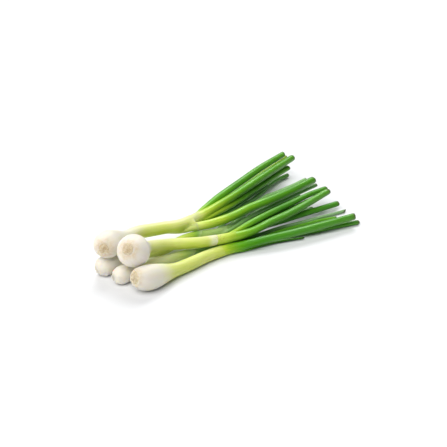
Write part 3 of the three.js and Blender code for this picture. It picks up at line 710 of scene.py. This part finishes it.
class Onion:
    """One onion: its route, its leaves, and how wide its bulb and stem are."""

    def __init__(self, name, data):
        self.name, self.data = name, data
        self.route = Route(data["route"])
        self.half = float(np.linalg.norm(np.subtract(data["route"][0], data["route"][1])))
        self.mouth = data["rims"][-1]["at"]
        first, *others = LEAVES[name]
        first = {**first, "green": data["green"], "bloom": data["bloom"]}
        filled = self.bare_radius(self.mouth) - MOUTH_ROOM
        self.leaves = [Leaf(first, self.route, data["stem"]["length"] + STEM_GAP, (self.mouth, filled))]
        self.leaves += [Leaf(other, Route(other["route"]), 0.0) for other in others]

    def bare_radius(self, distance):
        """The bulb and stem, round and without sheath rims."""
        bulb, stem = self.data["bulb"], self.data["stem"]
        squash = 1 - (bulb["rim"] / bulb["radius"]) ** 2
        back = np.clip((self.half - distance) / self.half, 0, 1)
        fall = (1 + np.cos(math.pi * np.clip((distance - self.half) / bulb["neck"], 0, 1))) / 2
        neck_end = self.half + bulb["neck"]
        narrow = (distance - neck_end) / (stem["length"] - neck_end)
        root_half = bulb["radius"] * np.sqrt(1 - squash * back**2)
        neck = stem["radius"] + (bulb["radius"] - stem["radius"]) * fall
        shaft = stem["radius"] + (stem["end"] - stem["radius"]) * np.minimum(narrow, 1)
        return np.where(distance < self.half, root_half, np.where(distance < neck_end, neck, shaft))

    def wrapped_radius(self, distance, angle, passed):
        """The sheath past some rims, stretched round the stem and the leaves that it still holds."""
        round_stem = float(self.bare_radius(distance))
        past = distance - self.data["stem"]["length"]
        if past > 0:
            leaf = self.leaves[0].radius(distance) + WRAP_ROOM
            round_stem += (leaf - round_stem) * smooth(past / WRAP_LENGTH)
        circles = [(0.0, 0.0, round_stem)]
        freed = {number for rim in self.data["rims"][:passed] for number in rim.get("frees", ())}
        origin, tangent, side, top = self.route.frame(distance)
        for number, leaf in enumerate(self.leaves[1:], 2):
            found = leaf.section(origin, tangent, side, top)
            if found and number not in freed:
                u, v, r = found
                circles.append((u, v, r * HELD_SHARE + HELD_ROOM))
        return hull_radius(circles, angle)


def seat_rings(bulb):
    """Rings of the bulb round its root plate: distance and radius."""
    rings = [(distance, bulb["plate"] + past) for distance, past in SEAT_RINGS]
    seat = rings[-1][1]
    room = bulb["rim"] - END_ROUNDING - seat
    return rings + [(-END_RISE * math.sin(math.pi * x), seat + room * x) for x in (0.2, 0.4, 0.6, 0.8)]


def skin_rings(onion):
    """Rings along the skin: distance, number of rims passed, inset, and how much it is a sheath's edge."""
    rims, end = onion.data["rims"], onion.mouth
    neck_end = onion.half + onion.data["bulb"]["neck"]
    body = [
        *np.linspace(*END_RINGS),
        *np.arange(BODY_START, neck_end, BODY_STEP),
        *np.arange(neck_end, end - 1, STEM_STEP),
    ]
    near = {rim["at"] + off for rim in rims for off in BEFORE_RIM}
    near |= {rim["at"] + off for rim in rims[:-1] for off in AFTER_RIM}
    passed, rings = 0, []
    for distance in sorted(set(np.round(body, 3)) | near):
        while passed < len(rims) - 1 and distance > rims[passed]["at"]:
            at = rims[passed]["at"]
            rings += [(at + off, passed + more, inset, edge) for off, more, inset, edge in RIM_RINGS]
            passed += 1
        rings.append((distance, passed, 0.0, 0))
    return rings + [(end + off, passed, inset, edge) for off, inset, edge in MOUTH_RINGS]


def skin_waves(rng):
    """Chance waves round a bulb, by what they shape."""
    return {
        "lobes": wander(rng, 3, 2, 5),
        "oval": wander(rng, 2, 2, 3),
        "ribs": wander(rng, 7, 12, 26),
        "fine": wander(rng, 6, 27, 44),
        "ragged": wander(rng, 7, 4, 22),
        "pucker": wander(rng, 5, 5, 12),
    }


def shaped_ring(onion, waves, angle, distance, passed, inset):
    """Distance and radius of each point of one ring of skin."""
    radius = onion.wrapped_radius(distance, angle, passed) - SHEATH * passed - inset
    if inset >= CAP_INSET:
        radius = radius * CAP_SHARE
    swollen = math.exp(-(((distance - onion.half) / (onion.half * LOBE_REACH)) ** 2))
    lobes, oval = LOBES * swollen * waves["lobes"](angle), OVAL * (1 - swollen) * waves["oval"](angle)
    radius = radius * (1 + lobes + oval)
    for kind, (height, rise) in RIBS.items():
        radius = radius + height * smooth(distance / rise) * waves[kind](angle)
    height, place, length = PUCKER
    radius = radius + height * math.exp(-(((distance - place) / length) ** 2)) * waves["pucker"](angle)
    shift = np.zeros(len(angle))
    for rim in onion.data["rims"]:
        away = abs(distance - rim["at"])
        shift += rim["slant"] * np.cos(angle - rim["toward"]) * smooth(1 - away / SLANT_LENGTH)
        shift += RIM_RAGGED * waves["ragged"](angle + rim["at"]) * smooth(1 - away / RIM_LENGTH)
    return distance + shift, radius


def rim_marks(rims, at, passed, edge):
    """How papery and how blushed each ring is."""
    dry, blush = np.zeros(len(at)), np.zeros(len(at))
    for number, rim in enumerate(rims):
        if "paper" in rim:
            before = (passed <= number) & (at <= rim["at"] + 0.2)
            share = smooth(PAPER_RISE * (1 - (rim["at"] - at) / rim["long"]))
            dry = np.maximum(dry, np.where(before, rim["paper"] * share, 0))
        near = np.exp(-(((at - rim["at"]) / BLUSH_LENGTH) ** 2))
        close = rim.get("blush", 0) * near * (1 - BLUSH_EDGE + BLUSH_EDGE * edge)
        blush = np.maximum(blush, np.where(passed <= number, close, BLUSH_PAST * close))
    return dry, blush


def skin_values(onion, waves, angle, rings, seat_count, rng):
    """The values that the skin's material reads, for rings of (distance, rims passed, edge)."""
    data = onion.data
    at, passed, edge = (np.array(column, float) for column in zip(*rings))
    spread = np.ones((len(at), len(angle)))
    dry, blush = rim_marks(data["rims"], at, passed, edge)
    speck = np.zeros(len(at))
    if "speck" in data:
        middle, reach, share = data["speck"]
        speck = share * np.exp(-(((at - middle) / reach) ** 2))
    from_plate = np.where(np.arange(len(at)) < seat_count, 0.0, at)[:, None]
    earthed = EARTH_LENGTH + EARTH_UNEVEN * waves["pucker"](angle)
    # Painted shade and light: the green share is raised on one side of the stem and lowered on the other, so
    # one side reads darker as shade and the other paler as lit.
    toward, painted_shade = data["painted_shade"]
    along = smooth((at - onion.half) / PAINTED_SHADE_START) * smooth((onion.mouth - at) / PAINTED_SHADE_END)
    shade_tint = 1 + painted_shade * along[:, None] * np.cos(angle - toward)
    return {
        "green": table(data["green"], at)[:, None] * shade_tint,
        "bloom": table(data["bloom"], at)[:, None] * spread,
        "dry": dry[:, None] * spread,
        "blush": blush[:, None] * (1 - BLUSH_UNEVEN + BLUSH_UNEVEN * waves["ragged"](angle)),
        "speck": speck[:, None] * spread,
        "earth": data["bulb"]["earth"] * np.exp(-((from_plate / earthed) ** 2)),
        "thin": smooth(1 - (onion.mouth - at) / THIN_SKIN)[:, None] * spread,
        "grain": grain(angle, at, rng),
    }


def curled_flap(onion, at, toward, long, wide):
    """A torn strip of sheath that stands up from the stem and rolls over: points, faces, share along it."""
    steps, across = FLAP_RINGS, FLAP_POINTS
    share = np.linspace(0, 1, steps)[:, None]
    over = np.linspace(-0.5, 0.5, across)[None, :]
    turn = toward + over * wide * (1 - FLAP_TAPER * share) / FLAP_RADIUS
    origin, _, side, top = onion.route.frame(at + long * (share - FLAP_BACK * share**3))
    base = onion.bare_radius(at) - SHEATH
    lift = FLAP_GAP + FLAP_LIFT * np.sin(share * FLAP_ROLL) ** 2 + FLAP_CUP * (2 * over) ** 2 * share
    sideways, upwards = side * np.cos(turn)[..., None], top * np.sin(turn)[..., None]
    layers = []
    for depth in (0.0, -FLAP_THICK):
        radius = (base + lift + depth)[..., None]
        layers.append(origin + sideways * radius + upwards * radius)
    points = np.concatenate([layer.reshape(-1, 3) for layer in layers])
    count = steps * across
    faces = []
    for i in range(steps - 1):
        for j in range(across - 1):
            a, b = i * across + j, (i + 1) * across + j
            faces.append((a, b, b + 1, a + 1))
            faces.append((count + a, count + a + 1, count + b + 1, count + b))
    loop = [(i, 0) for i in range(steps)] + [(steps - 1, j) for j in range(1, across)]
    loop += [(i, across - 1) for i in range(steps - 2, -1, -1)] + [(0, j) for j in range(across - 2, 0, -1)]
    ids = [i * across + j for i, j in loop]
    for a, b in zip(ids, ids[1:] + ids[:1]):
        faces.append((a, count + a, count + b, b))
    return points, faces, np.tile(np.repeat(share[:, 0], across), 2)


def with_flap(onion, points, faces, values):
    """The bulb's points, faces and values, with those of its curled flap added."""
    flap, flap_faces, share = curled_flap(onion, *onion.data["curl"])
    plain = np.zeros(len(share))
    own = {"green": plain + FLAP_GREEN, "dry": FLAP_DRY * share, "place": flap, "grain": flap}
    values = {key: np.concatenate([rows, own.get(key, plain)]) for key, rows in values.items()}
    return np.vstack([points, flap]), faces + moved(flap_faces, len(points)), values


def build_bulb(onion, rng, material):
    """One bulb with its stem, from the seat of its root plate to the floor of its mouth."""
    angle = round_angles(BULB_SIDES)
    waves = skin_waves(rng)
    seat, skin = seat_rings(onion.data["bulb"]), skin_rings(onion)
    shaped = [(np.full(BULB_SIDES, distance), np.full(BULB_SIDES, radius)) for distance, radius in seat]
    shaped += [shaped_ring(onion, waves, angle, at, passed, inset) for at, passed, inset, _ in skin]
    distances, radii = (np.array(column) for column in zip(*shaped))
    points = above_table(turned(onion.route, distances, radii, angle))
    rings = [(distance, 0, 0) for distance, _ in seat] + [(at, passed, edge) for at, passed, _, edge in skin]
    values = {**skin_values(onion, waves, angle, rings, len(seat), rng), "place": points}
    values = {key: capped(rows) for key, rows in values.items()}
    points, faces = capped(points), ring_faces(len(rings), BULB_SIDES)
    if "curl" in onion.data:
        points, faces, values = with_flap(onion, points, faces, values)
    name = f"{onion.name}_onion_bulb"
    mesh_piece(name, points, faces, material, "bulb", [name], **values)


# ---------------- root plates


def root_plate(onion, rng):
    """The crowned plate: its points, and how dried each is."""
    plate = onion.data["bulb"]["plate"]
    angle = round_angles(ROOT_SIDES)
    share = np.linspace(0.03, 1, ROOT_RINGS)[:, None]
    folds, rough = wander(rng, 6, 5, 13), wander(rng, 6, 3, 9)
    crown = -PLATE_CROWN * (1 - share**2) * np.ones(ROOT_SIDES)
    folded = PLATE_FOLDS * folds(angle) * share * (1 - share) * 2
    rippled = PLATE_RIPPLES * np.cos(share * RIPPLE_TURN) * (1 - share)
    crown += folded + rippled + PLATE_ROUGH * rough(angle)
    radius = plate * share * (1 + PLATE_UNEVEN * folds(angle) * share)
    distance = np.vstack([crown, np.full((1, ROOT_SIDES), 1.0)])
    radius = np.vstack([radius, np.full((1, ROOT_SIDES), plate)])
    dried = DRIED_MIDDLE * np.exp(-((share / DRIED_REACH) ** 2)) * np.ones(ROOT_SIDES)
    dry = np.vstack([dried, np.zeros((1, ROOT_SIDES))])
    return capped(turned(onion.route, distance, radius, angle)), capped(dry)


def root_stub(onion, number, rng):
    """One cut root, in its place in a spiral over the plate: its points, and how dried each is."""
    bulb = onion.data["bulb"]
    origin, tangent, side, top = onion.route.frame(0.0)
    r = ROOT_REACH * math.sqrt((number + 0.5) / bulb["roots"])
    a = number * GOLDEN + rng.uniform(-STUB_TURN, STUB_TURN)
    out = side * math.cos(a) + top * math.sin(a)
    foot = origin + out * r * bulb["plate"] - tangent * PLATE_CROWN * (1 - r * r)
    height = rng.uniform(*STUB_LENGTH) * (SHORT if r < SHORT_WITHIN else 1.0)
    width = rng.uniform(*STUB_WIDTH)
    lean = out * (STUB_LEAN[0] + STUB_LEAN[1] * r) - tangent
    lean = unit(lean + side * rng.uniform(-STUB_SWAY, STUB_SWAY) + top * rng.uniform(-STUB_SWAY, STUB_SWAY))
    bend = (side * rng.uniform(-1, 1) + top * rng.uniform(-1, 1)) * STUB_BEND
    one = unit(np.cross(lean, tangent + side * 0.3))
    two = np.cross(lean, one)
    angle = round_angles(STUB_SIDES)
    circle = np.cos(angle)[:, None] * one + np.sin(angle)[:, None] * two
    rings = []
    for k in range(STUB_RINGS):
        t = k / (STUB_RINGS - 1)
        centre = foot + lean * (height * t - STUB_SINK) + bend * t * t * height
        size = width * (STUB_TAPER[0] - STUB_TAPER[1] * t) * (1 if k < STUB_RINGS - 1 else STUB_END)
        rings.append(centre + circle * size)
    tone = rng.uniform(0, 1) ** 3
    dry = np.linspace(tone * STUB_DRIED, tone, STUB_RINGS)[:, None] * np.ones(STUB_SIDES)
    return capped(np.array(rings)), capped(dry)


def build_roots(onion, rng, material):
    """One root plate with its stubs."""
    bulb = onion.data["bulb"]
    plate, dried = root_plate(onion, rng)
    points, dry, faces = [plate], [dried], ring_faces(ROOT_RINGS + 1, ROOT_SIDES)
    for number in range(bulb["roots"]):
        faces += moved(ring_faces(STUB_RINGS, STUB_SIDES), sum(len(rows) for rows in points))
        stub, dried = root_stub(onion, number, rng)
        points.append(stub)
        dry.append(dried)
    points = above_table(np.vstack(points))
    values = {"dry": np.concatenate(dry), "grain": points, "pale": np.full(len(points), 1 - bulb["earth"])}
    name = f"{onion.name}_onion_roots"
    mesh_piece(name, points, faces, material, "roots", [name], **values)


# ---------------- the bunch

rng = np.random.default_rng(SEED)
skin, leaf_green, root_brown = onion_skin(), leaf_skin(), root_skin()
for name, data in ONIONS.items():
    onion = Onion(name, data)
    build_bulb(onion, rng, skin)
    build_roots(onion, rng, root_brown)
    for number, leaf in enumerate(onion.leaves, 1):
        build_leaf(f"{name}_onion_leaf_{number}", leaf, rng, leaf_green)

# ---------------- stage, light and camera

FLOOR_HALF = 6.0
floor_mesh = bpy.data.meshes.new("floor")
corners = [(x * FLOOR_HALF, y * FLOOR_HALF, 0) for x, y in ((-1, -1), (1, -1), (1, 1), (-1, 1))]
floor_mesh.from_pydata(corners, [], [(0, 1, 2, 3)])
floor_paint = Shader("floor").finish(Base_Color=FLOOR_WHITE, Roughness=0.9, Specular_IOR_Level=0.1)
floor_mesh.materials.append(floor_paint)
floor = add_object("floor", floor_mesh)

world = bpy.data.worlds.new("studio")
world.use_nodes = True
background = world.node_tree.nodes["Background"].inputs
background["Color"].default_value = (0.95, 0.98, 1, 1)
background["Strength"].default_value = 0.12
bpy.context.scene.world = world


def studio_sun(name, right, back, up, strength, spread, colour):
    """A soft sun from a direction given as seen by the camera: to its right, away from it, and up."""
    toward = mathutils.Vector((
        right * math.cos(VIEW_TURN) + back * math.sin(VIEW_TURN),
        -right * math.sin(VIEW_TURN) + back * math.cos(VIEW_TURN),
        up,
    ))
    light = bpy.data.lights.new(name, "SUN")
    light.energy = strength
    light.color = colour
    light.angle = math.radians(spread)
    add_object(name, light, toward)


studio_sun("key", -0.25, -0.5, 1.0, 2.5, 50, (1, 0.99, 0.97))
studio_sun("back", 0.05, 0.7, 0.8, 2.1, 36, (1, 1, 1))
studio_sun("side", -1.0, -0.3, 0.4, 0.9, 50, (1, 0.98, 0.97))

camera = bpy.data.cameras.new("camera")
camera.lens = LENS
camera.sensor_width = SENSOR
camera.clip_start, camera.clip_end = 0.01, 50
eye = add_object("camera", camera, mathutils.Vector((CAMERA_AT - CAMERA_TARGET) * MM))
eye.location = (CAMERA_AT + SHIFT) * MM
bpy.context.scene.camera = eye
bpy.context.scene.view_settings.view_transform = "Standard"
